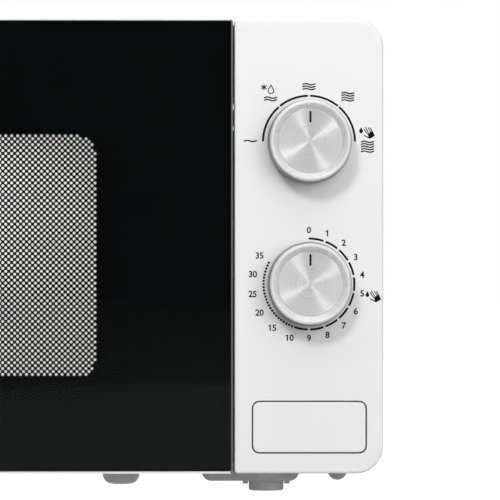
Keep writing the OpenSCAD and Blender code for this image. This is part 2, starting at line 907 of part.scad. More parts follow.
module latch_housing() {
  color("#3b3d3f") {
    difference() {
      union() {
        box(lx0, px0 - 1.75, yc, yc + 2, zb + 41.5, zt - 13.5);
        box(lx0, lx0 + 2.5, yc, yc + 30.2, zb + 41.5, zt - 13.5);
      }
      for (z = [pivz - 8, pivz + 118])
        box(hk0 - 3, hk1 + 3.5, yc - e, yc + 3, z, z + 22);
    }
    for (z = [pivz - 10, pivz + 116])
      box(lx0 + 2.5, hk1 + 4, yc + 2, yc + 12.7, z, z + 5.6);
    for (z = [pivz + 18, pivz + 143])
      box(lx0 + 2.5, hk1 + 4, yc + 2, yc + 26, z, z + 3);
    box(hk1 + 4, hk1 + 6.5, yc + 2, yc + 17.2, pivz - 10, pivz + 21);
    xcyl(pivy, pivz, hk1 + 6, hk1 + 18.5, 3);
  }
}

module interlock_switches() {
  color("#1d1e20")
    for (z = [pivz + 22, pivz + 52, pivz + 82])
      translate([lx0 + 2.5, yc + 14, z]) {
        cube([10, 16, 27]);
        translate([3, -1.5, 18])
          cube([4, 1.5, 4]);
        translate([3, 16, 4])
          cube([4, 5, 0.8]);
        translate([3, 16, 21])
          cube([4, 5, 0.8]);
      }
}

module latch_hook() {
  color("#2c2e30") {
    box(hk0, hk1, yf + 8.5, yf + 21.5, pivz - 4, pivz + 133);
    for (z = [pivz - 4, pivz + 122]) {
      box(hk0, hk1, yf + 21.5, yf + 54.5, z + 4, z + 11);
      box(hk0, hk1, yf + 46.5, yf + 54.5, z, z + 5);
    }
  }
}

module latch_spring() {
  color("#9fa1a0")
    translate([(hk0 + hk1) / 2, yf + 15.5, pivz - 26.4])
      coil(3, 0.45, 22.3, 9);
}

// ---------- door ----------

// Door outline: large corners on the hinge side, small ones beside the panel
module door_shape(x0, x1, z0, z1, y0, y1, r, r1) {
  yrect(x0, 0, z0, z1, y0, y1, r);
  yrect(-100, x1, z0, z1, y0, y1, r1);
}

module door_frame() {
  color("#eeeeec")
    difference() {
      union() {
        difference() {
          door_shape(xl, dx1, zb, zt, yf, ydb, panel_r, 1.6);
          door_shape(xl + frame_edge, dx1 - 0.9, zb + frame_edge, zt - frame_top, yf - e, yg,
            panel_r - frame_edge, 1);
          box(wx0 - 5.5, wx1 + 5.5, yg - e, yw + e, wz0 - 8, wz1 + 8);
          door_shape(xl + 2.2, dx1 - 2.2, zb + 2.2, zt - 2.2, yw, ydb + e, panel_r - 2.2, 0.6);
        }
        box(xl + 1, hx + 8, yw - 1, hy + 8, zt - 29.5, zt - 17.9);
        box(xl + 1, hx + 8, yw - 1, hy + 8, zb + 17.9, zb + 29.5);
        for (z = [pivz + 14, pivz + 99]) {
          box(hk0 - 3, hk0 - 0.05, yw - 1, yf + 18.5, z, z + 15);
          box(hk1 + 0.05, hk1 + 3, yw - 1, yf + 18.5, z, z + 15);
        }
        box(hk0 - 3, hk1 + 3, yw - 1, yf + 21.5, pivz - 30, pivz - 26.5);
      }
      for (z = [zt - 17.9, zb + 15.1])
        box(xl - e, hx + 7.5, hy - 8, ydb + e, z, z + 2.8);
      zcyl(hx, hy, zt - 31, zt - 15, hr + run);
      zcyl(hx, hy, zb + 15, zb + 31, hr + run);
      translate([0, 0, zb - 1])
        linear_extrude(height = front_h + 2)
          polygon([[xl - 1, ydb - 3.4], [xl, ydb - 3], [hx - 0.5, ydb], [hx - 0.5, ydb + 1],
            [xl - 1, ydb + 1]]);
    }
}

module door_glass() {
  color("#101413", 0.9)
    door_shape(xl + frame_edge, dx1 - 0.9, zb + frame_edge, zt - frame_top, yf, yg,
      panel_r - frame_edge, 1);
}

module door_screen() {
  color("#2e3032")
    difference() {
      box(hx + 9, hk0 - 7, yw, ydb - 2.5, zb + 11.5, zt - 12.5);
      box(hx + 9.8, hk0 - 7.8, yw + 0.8, ydb, zb + 12.3, zt - 13.3);
    }
}

module door_film() {
  color("#dfe9ea", 0.5)
    box(wx0 - 6.6, wx1 + 6.6, yw + 0.8, yw + 1.2, wz0 - 9, wz1 + 9);
}

module door_choke_cover() {
  color("#3a3b3d")
    difference() {
      union() {
        box(hx + 9, dx1 - 4, ydb - 2.5, ydb - 0.2, zb + 11.5, zt - 12.5);
        box(wx0 - 8.6, wx1 + 8.6, yw + 0.8, ydb - 2, wz0 - 11, wz1 + 11);
      }
      box(wx0 - 7, wx1 + 7, yw, ydb + e, wz0 - 9.4, wz1 + 9.4);
      for (z = [pivz - 8, pivz + 118])
        box(hk0 - 3, hk1 + 4, ydb - 4, ydb + e, z, z + 22);
    }
}

module hinge(z, s) {
  box(hx - 1, hx + 9, yc, yc + 2, z - 10, z + 12);
  box(hx - 6, hx + 6, hy, yc + 2, z, z + 2);
  zcyl(hx, hy, z, z + 2, 6);
  zcyl(hx, hy, s > 0 ? z : z - 10, s > 0 ? z + 12 : z + 1, hr);
}

module door_hinges() {
  color("#a3a5a4") {
    hinge(zt - 17.5, -1);
    hinge(zb + 15.5, 1);
  }
}

outer_case();
rear_panel();
base_plate();
feet();
case_screws();
cord_inlet();
cavity_front_plate();
cavity_shell();
cavity_floor();
cavity_rear_wall();
waveguide();
waveguide_cover();
magnetron_tube();
magnetron_yoke();
magnetron_fins();
magnetron_filter_box();
transformer_core();
transformer_windings();
hv_capacitor();
capacitor_clamp();
hv_diode();
filter_board();
fan_motor();
fan_duct();
fan_shaft();
fan_blade();
lamp_holder();
oven_lamp();
thermal_cutouts();
turntable_motor();
turntable_shaft();
turntable_coupler();
glass_tray();
roller_ring();
wheel_a();
wheel_b();
wheel_c();
control_panel();
control_bracket();
timer_unit();
power_selector();
power_knob();
power_disc();
power_shaft();
timer_knob();
timer_disc();
timer_shaft();
door_button();
button_spring();
release_lever();
latch_housing();
interlock_switches();
latch_hook();
latch_spring();
door_frame();
door_glass();
door_screen();
door_film();
door_choke_cover();
door_hinges();
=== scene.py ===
import json
import math

import bmesh
import bpy
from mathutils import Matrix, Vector


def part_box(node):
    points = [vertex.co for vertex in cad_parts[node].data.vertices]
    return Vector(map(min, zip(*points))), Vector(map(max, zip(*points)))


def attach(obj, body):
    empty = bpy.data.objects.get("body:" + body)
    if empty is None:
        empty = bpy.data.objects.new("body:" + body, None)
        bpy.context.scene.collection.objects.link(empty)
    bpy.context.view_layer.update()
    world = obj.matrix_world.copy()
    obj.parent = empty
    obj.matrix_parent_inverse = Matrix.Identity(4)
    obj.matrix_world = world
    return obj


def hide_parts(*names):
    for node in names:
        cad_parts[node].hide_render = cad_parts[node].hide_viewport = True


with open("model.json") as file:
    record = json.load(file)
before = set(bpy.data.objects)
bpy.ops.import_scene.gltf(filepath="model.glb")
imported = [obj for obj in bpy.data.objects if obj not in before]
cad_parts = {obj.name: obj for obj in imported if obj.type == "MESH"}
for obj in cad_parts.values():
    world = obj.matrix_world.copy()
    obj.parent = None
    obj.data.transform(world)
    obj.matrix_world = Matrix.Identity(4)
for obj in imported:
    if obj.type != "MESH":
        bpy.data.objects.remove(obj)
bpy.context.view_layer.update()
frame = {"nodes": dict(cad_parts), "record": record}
MM = 0.001
REC = frame["record"]
BODY_OF = {n: b for b, ns in REC["behaviour"]["bodies"].items() for n in ns}


def mm_box(node):
    lo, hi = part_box(node)
    return lo / MM, hi / MM


# ---------------------------------------------------------------- sizes read from the frame
GL, GH = mm_box("door_glass")
PL, PH = mm_box("control_panel")
SL, SH = mm_box("door_screen")
FL, FH = mm_box("door_film")
BL, BH = mm_box("door_button")
K1L, K1H = mm_box("power_knob")
K2L, K2H = mm_box("timer_knob")
D1L, D1H = mm_box("power_disc")
CL, CH = mm_box("cavity_shell")
FACE_Y = PL.y
KX = (K1L.x + K1H.x) / 2
KZ1 = (K1L.z + K1H.z) / 2
KZ2 = (K2L.z + K2H.z) / 2
KNOB_R = (K1H.x - K1L.x) / 2
KNOB_OUT = FACE_Y - K1L.y
DISC_R = (D1H.x - D1L.x) / 2

WINDOW_SIDE = 6.6            # film edge to the punched field, left and right
WINDOW_END = 9.0             # the same, above and below
WINDOW_R = 8.6               # corner radius of the punched field
SCREEN_PITCH_X = 3.25
SCREEN_PITCH_Z = 3.22
SCREEN_HOLE_R = 0.86
SCREEN_SHEET = 0.5
EDGE_SHADE_BAND = 1.35             # painted shade: dark grey band on the door surround's edge, beside the gap
BUTTON_GAP = 0.7
BUTTON_HOLE_R = 4.3
SHAFT_HOLE_R = 6.0
KNOB_DRAWN_R = 23.0          # the knob profile is written for this radius and length
KNOB_DRAWN_OUT = 20.0
INK_LIFT = 0.04
INK_THICK = 0.02
INK_LINE = 1.14
SCALE_SHIFT = 0.28           # the printed scales sit this far left of the dial axes
POWER_SCALE_R = 25.1
TIMER_SCALE_R = 24.8
DIGIT_HEIGHT = 3.45
WIN_X0, WIN_X1 = FL.x + WINDOW_SIDE, FH.x - WINDOW_SIDE
WIN_Z0, WIN_Z1 = FL.z + WINDOW_END, FH.z - WINDOW_END
INK_Y = FACE_Y - INK_LIFT


# ---------------------------------------------------------------- node materials
class Nodes:
    """A small wrapper that adds and links shader nodes."""

    def __init__(self, name):
        self.mat = bpy.data.materials.new(name)
        self.mat.use_nodes = True
        self.t = self.mat.node_tree
        self.t.nodes.clear()
        self.out = self.t.nodes.new("ShaderNodeOutputMaterial")
        self.b = self.t.nodes.new("ShaderNodeBsdfPrincipled")
        self.link(self.b, "BSDF", self.out, "Surface")
        self.co = self.t.nodes.new("ShaderNodeTexCoord")

    def link(self, a, so, b, si):
        self.t.links.new(a.outputs[so], b.inputs[si])

    def add(self, kind, **values):
        n = self.t.nodes.new(kind)
        for k, v in values.items():
            if k in n.inputs:
                n.inputs[k].default_value = v
            else:
                setattr(n, k, v)
        return n

    def mapped(self, scale=(1, 1, 1), rot=(0, 0, 0), loc=(0, 0, 0)):
        m = self.add("ShaderNodeMapping")
        m.inputs["Scale"].default_value = scale
        m.inputs["Rotation"].default_value = rot
        m.inputs["Location"].default_value = loc
        self.link(self.co, "Object", m, "Vector")
        return m

    def noise(self, scale, detail=3.0, rough=0.5, src=None):
        n = self.add("ShaderNodeTexNoise", Scale=scale, Detail=detail, Roughness=rough, Distortion=0.0)
        s = src or self.co
        self.link(s, "Vector" if src else "Object", n, "Vector")
        return n

    def ramp(self, src, out, stops):
        r = self.add("ShaderNodeValToRGB")
        r.color_ramp.interpolation = "LINEAR"
        while len(r.color_ramp.elements) < len(stops):
            r.color_ramp.elements.new(0.5)
        for e, (p, c) in zip(r.color_ramp.elements, stops):
            e.position = p
            e.color = (c[0], c[1], c[2], 1) if hasattr(c, "__len__") else (c, c, c, 1)
        self.link(src, out, r, "Fac")
        return r

    def bump(self, src, out, distance):
        b = self.add("ShaderNodeBump", Strength=1.0, Distance=distance)
        self.link(src, out, b, "Height")
        self.link(b, "Normal", self.b, "Normal")

    def set(self, **values):
        for k, v in values.items():
            self.b.inputs[k.replace("_", " ")].default_value = v


def shade(c, k):
    return tuple(max(0.0, min(1.0, x * k)) for x in c)


def moulded(name, colour, var=0.05, rough=(0.35, 0.5), grain=1400.0, depth=0.00002, patch=14.0,
            coat=0.0, ior=1.45, metallic=0.0):
    """Moulded or painted surface: slow tone drift, fine grain, uneven gloss."""
    m = Nodes(name)
    slow = m.noise(patch, 4.0, 0.55)
    tones = [(0.3, shade(colour, 1 - var)), (0.5, colour), (0.72, shade(colour, 1 + var * 0.6))]
    r = m.ramp(slow, "Fac", tones)
    m.link(r, "Color", m.b, "Base Color")
    g = m.noise(patch * 4.2, 5.0, 0.6)
    rr_ = m.ramp(g, "Fac", [(0.3, rough[0]), (0.7, rough[1])])
    m.link(rr_, "Color", m.b, "Roughness")
    fine = m.noise(grain, 2.0, 0.5)
    m.bump(fine, "Fac", depth)
    m.set(IOR=ior, Metallic=metallic)
    if coat:
        m.b.inputs["Coat Weight"].default_value = coat
        m.b.inputs["Coat Roughness"].default_value = 0.08
    return m.mat


def spangled(name, colour, rough=(0.34, 0.55), cell=160.0, metallic=0.85, var=0.12):
    """Galvanised sheet: crystal cells of slightly different tone and gloss, with rolling marks."""
    m = Nodes(name)
    v = m.add("ShaderNodeTexVoronoi", Scale=cell, Randomness=1.0)
    m.link(m.co, "Object", v, "Vector")
    bw = m.add("ShaderNodeSeparateColor")
    m.link(v, "Color", bw, "Color")
    r = m.ramp(bw, "Red", [(0.0, shade(colour, 1 - var)), (0.55, colour), (1.0, shade(colour, 1 + var))])
    wear = m.noise(22.0, 5.0, 0.6)
    mix = m.add("ShaderNodeMix", data_type="RGBA", blend_type="MULTIPLY")
    mix.inputs["Factor"].default_value = 0.35
    w = m.ramp(wear, "Fac", [(0.3, 0.72), (0.6, 1.0)])
    m.t.links.new(r.outputs["Color"], mix.inputs[6])
    m.t.links.new(w.outputs["Color"], mix.inputs[7])
    m.t.links.new(mix.outputs[2], m.b.inputs["Base Color"])
    rr_ = m.ramp(bw, "Green", [(0.0, rough[0]), (1.0, rough[1])])
    m.link(rr_, "Color", m.b, "Roughness")
    roll = m.noise(60.0, 3.0, 0.5, m.mapped((1, 14, 1)))
    m.bump(roll, "Fac", 0.00003)
    m.set(Metallic=metallic)
    return m.mat


def brushed(name, colour, along=(1, 40, 40), rough=(0.22, 0.4), metallic=1.0, depth=0.00002):
    """Drawn or turned metal with fine parallel marks."""
    m = Nodes(name)
    n = m.noise(55.0, 4.0, 0.6, m.mapped(along))
    r = m.ramp(n, "Fac", [(0.25, shade(colour, 0.86)), (0.55, colour), (0.8, shade(colour, 1.1))])
    m.link(r, "Color", m.b, "Base Color")
    rr_ = m.ramp(n, "Fac", [(0.3, rough[0]), (0.7, rough[1])])
    m.link(rr_, "Color", m.b, "Roughness")
    m.bump(n, "Fac", depth)
    m.set(Metallic=metallic)
    return m.mat


def enamel(name, colour):
    """Baked cavity enamel: smooth gloss over a faint fleck."""
    m = Nodes(name)
    v = m.noise(900.0, 1.0, 0.4)
    fleck = m.ramp(v, "Fac", [(0.0, shade(colour, 0.985)), (0.68, colour), (0.74, shade(colour, 0.86)),
                              (1.0, shade(colour, 0.8))])
    slow = m.noise(9.0, 3.0, 0.5)
    tone = m.ramp(slow, "Fac", [(0.3, 0.94), (0.7, 1.0)])
    mix = m.add("ShaderNodeMix", data_type="RGBA", blend_type="MULTIPLY")
    mix.inputs["Factor"].default_value = 1.0
    m.t.links.new(fleck.outputs["Color"], mix.inputs[6])
    m.t.links.new(tone.outputs["Color"], mix.inputs[7])
    m.t.links.new(mix.outputs[2], m.b.inputs["Base Color"])
    g = m.noise(40.0, 4.0, 0.5)
    m.link(m.ramp(g, "Fac", [(0.3, 0.28), (0.7, 0.42)]), "Color", m.b, "Roughness")
    orange = m.noise(380.0, 2.0, 0.5)
    m.bump(orange, "Fac", 0.00004)
    return m.mat


def banded(name, colour, scale, direction, rough=(0.35, 0.5), metallic=0.0, depth=0.0001,
           contrast=0.35, coat=0.0):
    """Stacked laminations or wound wire: regular fine bands."""
    m = Nodes(name)
    w = m.add("ShaderNodeTexWave", Scale=scale, Distortion=0.4, Detail=2.0)
    w.bands_direction = direction
    m.link(m.co, "Object", w, "Vector")
    n = m.noise(70.0, 4.0, 0.6)
    tones = [(0.0, shade(colour, 1 - contrast)), (0.5, colour), (1.0, shade(colour, 1 + contrast * 0.5))]
    r = m.ramp(w, "Fac", tones)
    mix = m.add("ShaderNodeMix", data_type="RGBA", blend_type="MULTIPLY")
    mix.inputs["Factor"].default_value = 0.5
    m.t.links.new(r.outputs["Color"], mix.inputs[6])
    m.t.links.new(m.ramp(n, "Fac", [(0.3, 0.7), (0.65, 1.0)]).outputs["Color"], mix.inputs[7])
    m.t.links.new(mix.outputs[2], m.b.inputs["Base Color"])
    m.link(m.ramp(n, "Fac", [(0.3, rough[0]), (0.7, rough[1])]), "Color", m.b, "Roughness")
    m.bump(w, "Fac", depth)
    m.set(Metallic=metallic)
    if coat:
        m.b.inputs["Coat Weight"].default_value = coat
    return m.mat


def clear(name, colour, ior=1.45, rough=(0.0, 0.03), smear=30.0, bump=0.0):
    """Clear glass or film with faint smears in its gloss."""
    m = Nodes(name)
    n = m.noise(smear, 5.0, 0.65)
    m.link(m.ramp(n, "Fac", [(0.35, rough[0]), (0.75, rough[1])]), "Color", m.b, "Roughness")
    t = m.ramp(m.noise(8.0, 2.0), "Fac", [(0.3, shade(colour, 0.985)), (0.7, colour)])
    m.link(t, "Color", m.b, "Base Color")
    m.b.inputs["Transmission Weight"].default_value = 1.0
    m.set(IOR=ior)
    if bump:
        m.bump(m.noise(220.0, 2.0), "Fac", bump)
    return m.mat


def spun(name, colour):
    """Spun metal disc: rings about the disc's own axis, gloss drawn out along the radius."""
    m = Nodes(name)
    gen = m.add("ShaderNodeVectorMath", operation="SUBTRACT")
    m.link(m.co, "Generated", gen, 0)
    gen.inputs[1].default_value = (0.5, 0.5, 0.5)
    flat = m.add("ShaderNodeVectorMath", operation="MULTIPLY")
    m.t.links.new(gen.outputs[0], flat.inputs[0])
    flat.inputs[1].default_value = (1, 0, 1)
    ln = m.add("ShaderNodeVectorMath", operation="LENGTH")
    m.t.links.new(flat.outputs[0], ln.inputs[0])
    rings = m.add("ShaderNodeTexNoise", noise_dimensions="1D", Scale=150.0, Detail=4.0, Roughness=0.7)
    m.t.links.new(ln.outputs["Value"], rings.inputs["W"])
    r = m.ramp(rings, "Fac", [(0.25, shade(colour, 0.93)), (0.5, colour), (0.75, shade(colour, 1.05))])
    m.link(r, "Color", m.b, "Base Color")
    m.link(m.ramp(rings, "Fac", [(0.3, 0.26), (0.7, 0.34)]), "Color", m.b, "Roughness")
    m.bump(rings, "Fac", 0.000004)
    tan = m.add("ShaderNodeTangent", direction_type="RADIAL", axis="Y")
    m.link(tan, "Tangent", m.b, "Tangent")
    m.b.inputs["Anisotropic"].default_value = 0.9
    m.b.inputs["Metallic"].default_value = 0.55
    return m.mat


def edge_toned(mat, x_mm):
    """Painted shade: dark grey base colour beyond x_mm, where the surround's edge turns into the gap."""
    t = mat.node_tree
    shader = next(n for n in t.nodes if n.type == "BSDF_PRINCIPLED")
    old = shader.inputs["Base Color"].links[0].from_socket
    co = t.nodes.new("ShaderNodeTexCoord")
    xyz = t.nodes.new("ShaderNodeSeparateXYZ")
    far = t.nodes.new("ShaderNodeMath")
    far.operation = "GREATER_THAN"
    far.inputs[1].default_value = x_mm * MM
    mix = t.nodes.new("ShaderNodeMix")
    mix.data_type = "RGBA"
    # painted shade colour of the edge band
    mix.inputs[7].default_value = (0.13, 0.13, 0.13, 1)
    t.links.new(co.outputs["Object"], xyz.inputs[0])
    t.links.new(xyz.outputs["X"], far.inputs[0])
    t.links.new(far.outputs[0], mix.inputs["Factor"])
    t.links.new(old, mix.inputs[6])
    t.links.new(mix.outputs[2], shader.inputs["Base Color"])
    return mat


M = {
    "panel": moulded("panel_white", (0.86, 0.86, 0.85), 0.018, (0.36, 0.46), 1500.0, 0.000012, 9.0),
    "button": moulded("button_white", (0.865, 0.865, 0.855), 0.018, (0.34, 0.44), 1500.0, 0.000012, 18.0),
    "well": moulded("button_well_shade", (0.02, 0.02, 0.02), 0.1, (0.5, 0.7), 900.0, 0.00001, 30.0),
    "knob": moulded("knob_satin", (0.78, 0.78, 0.77), 0.02, (0.26, 0.32), 600.0, 0.0000002, 30.0,
                    ior=1.5, metallic=0.12),
    # painted reflection: the plated side's base colour is darkened to stand in for the dark reflection seen
    # on it
    "knob_side": moulded("knob_side_plated_painted_dark_reflection", (0.17, 0.17, 0.17), 0.1, (0.3, 0.4), 600.0, 0.0000004, 40.0,
                         ior=1.4, metallic=0.85),
    # painted shade: the dish is a slightly darker copy of the knob's satin
    "knob_dish": moulded("knob_dish_satin_painted_shade", (0.73, 0.73, 0.72), 0.02, (0.24, 0.3), 600.0, 0.0000002, 30.0,
                         ior=1.5, metallic=0.08),
    # the door surround carries a painted shade band along its edge by the gap
    "frame": edge_toned(moulded("frame_white", (0.86, 0.86, 0.85), 0.02, (0.3, 0.42), 1500.0, 0.000012, 12.0),
                        mm_box("door_frame")[1].x - EDGE_SHADE_BAND),
    "case": moulded("case_powder", (0.83, 0.83, 0.815), 0.025, (0.4, 0.55), 700.0, 0.00005, 6.0),
    "ink": moulded("ink_black", (0.003, 0.003, 0.003), 0.2, (0.5, 0.65), 800.0, 0.0000004, 60.0,
                   ior=1.2),
    "mask": moulded("glass_print_black", (0.0008, 0.0022, 0.0024), 0.12, (0.5, 0.65), 900.0, 0.0000002, 5.0,
                    ior=1.02),
    "screen": moulded("screen_enamel", (0.0012, 0.0014, 0.0014), 0.2, (0.55, 0.7), 900.0, 0.00001, 20.0,
                      ior=1.15),
    "glass": clear("door_glass_clear", (0.97, 0.99, 0.985), 1.185, (0.0, 0.02), 20.0),
    "film": clear("door_film_clear", (0.98, 0.98, 0.975), 1.25, (0.03, 0.08), 24.0),
    "tray": clear("tray_glass_clear", (0.93, 0.985, 0.965), 1.5, (0.0, 0.04), 16.0, 0.00004),
    "bulb": clear("lamp_bulb_clear", (1.0, 0.95, 0.84), 1.45, (0.02, 0.1), 80.0),
    "galv": spangled("galvanised_sheet", (0.56, 0.57, 0.56)),
    "rear": spangled("rear_sheet", (0.62, 0.63, 0.62), (0.4, 0.6), 120.0, 0.7, 0.08),
    # painted light: the grey sheet and grey rubber colours are lifted to stand in for light bounced from the
    # floor, which does not light them
    "base": spangled("base_sheet_grey_painted_bounce", (0.47, 0.475, 0.465), (0.55, 0.7), 140.0, 0.2, 0.1),
    "foot": moulded("foot_rubber_grey_painted_bounce", (0.56, 0.56, 0.55), 0.1, (0.6, 0.8), 1100.0, 0.00004, 60.0),
    "enamel": enamel("cavity_enamel", (0.84, 0.84, 0.83)),
    "screw": brushed("screw_zinc_plated", (0.7, 0.7, 0.67), (1, 1, 1), (0.25, 0.45)),
    "shaft": brushed("shaft_turned", (0.66, 0.66, 0.65), (60, 2, 60)),
    "alu": brushed("fin_aluminium", (0.78, 0.79, 0.79), (1, 30, 1), (0.25, 0.42)),
    "can": brushed("can_aluminium", (0.74, 0.75, 0.75), (30, 1, 30), (0.28, 0.42)),
    "copper": brushed("anode_copper", (0.78, 0.42, 0.26), (1, 30, 30), (0.3, 0.45)),
    "brass": brushed("cap_brass", (0.7, 0.55, 0.3), (20, 20, 1), (0.28, 0.42)),
    "spring": brushed("spring_wire", (0.55, 0.55, 0.55), (20, 1, 20), (0.25, 0.4)),
    "rubber": moulded("rubber_black", (0.02, 0.02, 0.02), 0.3, (0.6, 0.8), 900.0, 0.00004, 50.0),
    "black": moulded("plastic_black", (0.025, 0.026, 0.028), 0.2, (0.35, 0.5), 1200.0, 0.00002, 30.0),
    "choke": moulded("choke_cover_grey", (0.05, 0.052, 0.055), 0.12, (0.45, 0.6), 800.0, 0.00004, 16.0),
    "mica": moulded("mica_sheet", (0.5, 0.45, 0.36), 0.22, (0.3, 0.5), 300.0, 0.00008, 120.0),
    "timer": moulded("timer_case", (0.6, 0.56, 0.42), 0.06, (0.4, 0.55), 900.0, 0.00003, 25.0),
    "cream": moulded("coupler_cream", (0.72, 0.69, 0.6), 0.05, (0.35, 0.5), 900.0, 0.00002, 40.0),
    "lever": moulded("lever_grey", (0.6, 0.6, 0.58), 0.05, (0.4, 0.55), 900.0, 0.00002, 40.0),
    "duct": moulded("duct_white", (0.74, 0.74, 0.72), 0.05, (0.4, 0.55), 900.0, 0.00003, 25.0),
    "blade": moulded("blade_grey", (0.09, 0.1, 0.11), 0.12, (0.35, 0.5), 900.0, 0.00002, 35.0),
    "board": moulded("board_green", (0.03, 0.13, 0.06), 0.2, (0.3, 0.5), 500.0, 0.00004, 90.0, 0.3),
    "core": banded("laminated_core", (0.09, 0.085, 0.08), 160.0, "Y", (0.4, 0.6), 0.5, 0.00008, 0.45),
    "winding": banded("copper_winding", (0.42, 0.17, 0.06), 150.0, "Z", (0.25, 0.4), 0.6, 0.0002, 0.5, 0.5),
    "disc1": spun("spun_aluminium_power", (0.78, 0.78, 0.77)),
    "disc2": spun("spun_aluminium_timer", (0.78, 0.78, 0.77)),
}


# ---------------------------------------------------------------- mesh helpers
def finish_piece(name, bm, mats, body, replaces=(), angle=32.0, weighted=True):
    me = bpy.data.meshes.new(name)
    bm.to_mesh(me)
    bm.free()
    for m in mats:
        me.materials.append(m)
    for p in me.polygons:
        p.use_smooth = True
    me.set_sharp_from_angle(angle=math.radians(angle))
    ob = bpy.data.objects.new(name, me)
    bpy.context.scene.collection.objects.link(ob)
    if weighted:
        w = ob.modifiers.new("weighted", "WEIGHTED_NORMAL")
        w.keep_sharp = True
    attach(ob, body)
    if replaces:
        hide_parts(*replaces)
    return ob


def refine(node, mat, width=0.25, name=None, segments=2, angle=38.0):
    """The CAD node's own shape with eased edges and smooth shading."""
    bm = bmesh.new()
    bm.from_mesh(frame["nodes"][node].data)
    bmesh.ops.remove_doubles(bm, verts=bm.verts, dist=1e-6)
    ob = finish_piece(name or "vis_" + node, bm, [mat], BODY_OF[node], (node,), 32.0, False)
    if width:
        b = ob.modifiers.new("edges", "BEVEL")
        b.width = width * MM
        b.segments = segments
        b.limit_method = "ANGLE"
        b.angle_limit = math.radians(angle)
        b.use_clamp_overlap = True
        b.miter_outer = "MITER_ARC"
    w = ob.modifiers.new("weighted", "WEIGHTED_NORMAL")
    w.keep_sharp = True
    return ob


def rr(x0, x1, z0, z1, r, d=0.0, n=10):
    """Rounded rectangle as points. r is one radius, or those of the right low, right high, left high
    and left low corners. d insets the whole outline."""
    rs = r if hasattr(r, "__len__") else (r, r, r, r)
    x0, x1, z0, z1 = x0 + d, x1 - d, z0 + d, z1 - d
    pts = []
    for (sx, sz, a0), rad in zip(((1, 0, -90), (1, 1, 0), (0, 1, 90), (0, 0, 180)), rs):
        q = max(rad - d, 0.05)
        cx = x1 - q if sx else x0 + q
        cz = z1 - q if sz else z0 + q
        for i in range(n + 1):
            a = math.radians(a0 + 90.0 * i / n)
            pts.append((cx + q * math.cos(a), cz + q * math.sin(a)))
    return pts


def circle(cx, cz, r, n=72):
    turns = [2 * math.pi * i / n for i in range(n)]
    return [(cx + r * math.cos(a), cz + r * math.sin(a)) for a in turns]


def ring(bm, pts, y):
    return [bm.verts.new((x * MM, y * MM, z * MM)) for x, z in pts]


def bridge(bm, a, b, mi=0):
    n = len(a)
    for i in range(n):
        f = bm.faces.new((a[i], a[(i + 1) % n], b[(i + 1) % n], b[i]))
        f.material_index = mi


def cap(bm, loops):
    if len(loops) == 1:
        bm.faces.new(loops[0])
        return
    edges = []
    for lp in loops:
        for i in range(len(lp)):
            e = bm.edges.get((lp[i], lp[(i + 1) % len(lp)]))
            edges.append(e or bm.edges.new((lp[i], lp[(i + 1) % len(lp)])))
    bmesh.ops.triangle_fill(bm, use_beauty=True, use_dissolve=False, edges=edges, normal=(0, -1, 0))


def pressed(name, outer, holes, mat, body, replaces=()):
    """A solid along Y: outer and each hole are lists of (points, y) from front to back, with flat ends."""
    bm = bmesh.new()
    front, back = [], []
    for path in [outer] + holes:
        rings = [ring(bm, p, y) for p, y in path]
        for a, b in zip(rings, rings[1:]):
            bridge(bm, a, b)
        front.append(rings[0])
        back.append(rings[-1])
    cap(bm, front)
    cap(bm, back)
    bmesh.ops.recalc_face_normals(bm, faces=bm.faces)
    return finish_piece(name, bm, [mat], body, replaces)


def lathe(name, profile, cx, cz, y_at, mats, body, replaces, steps=160, bands=None):
    """Turned about an axis along Y: profile is (radius, distance in front of y_at), and bands gives
    the material number of each step along it."""
    bm = bmesh.new()
    rings = []
    for r, t in profile:
        if r < 1e-4:
            rings.append([bm.verts.new((cx * MM, (y_at - t) * MM, cz * MM))])
        else:
            rings.append(ring(bm, circle(cx, cz, r, steps), y_at - t))
    for i, (a, b) in enumerate(zip(rings, rings[1:])):
        mi = bands[i] if bands else 0
        if len(a) == 1 or len(b) == 1:
            p, q = (a, b) if len(a) == 1 else (b, a)
            for k in range(len(q)):
                f = bm.faces.new((p[0], q[k], q[(k + 1) % len(q)]))
                f.material_index = mi
        else:
            bridge(bm, a, b, mi)
    bmesh.ops.recalc_face_normals(bm, faces=bm.faces)
    return finish_piece(name, bm, mats, body, replaces, 28.0)


# ---------------------------------------------------------------- door
def make_door():
    y0, y1 = GL.y, GH.y
    corner_r = 15.0 - (GL.x - mm_box("door_frame")[0].x)

    def g(d):
        return rr(GL.x, GH.x, GL.z, GH.z, (1.2, 1.2, corner_r, corner_r), d)

    pane = [(g(0.55), y0), (g(0.16), y0 + 0.16), (g(0.02), y0 + 0.55), (g(0.02), y1 - 0.12)]
    pressed("door_pane", pane, [], M["glass"], "door", ("door_glass",))
    w = rr(WIN_X0 - 0.5, WIN_X1 + 0.5, WIN_Z0 - 0.5, WIN_Z1 + 0.5, 9.1)
    pressed("door_pane_print", [(g(0.3), y1 - 0.1), (g(0.3), y1 - 0.04)], [[(w, y1 - 0.1), (w, y1 - 0.04)]],
            M["mask"], "door")
    refine("door_frame", M["frame"], 0.2, "door_surround", 3)
    make_screen()
    refine("door_film", M["film"], 0.0, "door_inner_film")
    refine("door_choke_cover", M["choke"], 0.6, "door_choke_trim", 3)
    refine("latch_hook", M["black"], 0.5, "door_latch_hook", 2)
    refine("latch_spring", M["spring"], 0.0, "door_latch_spring")


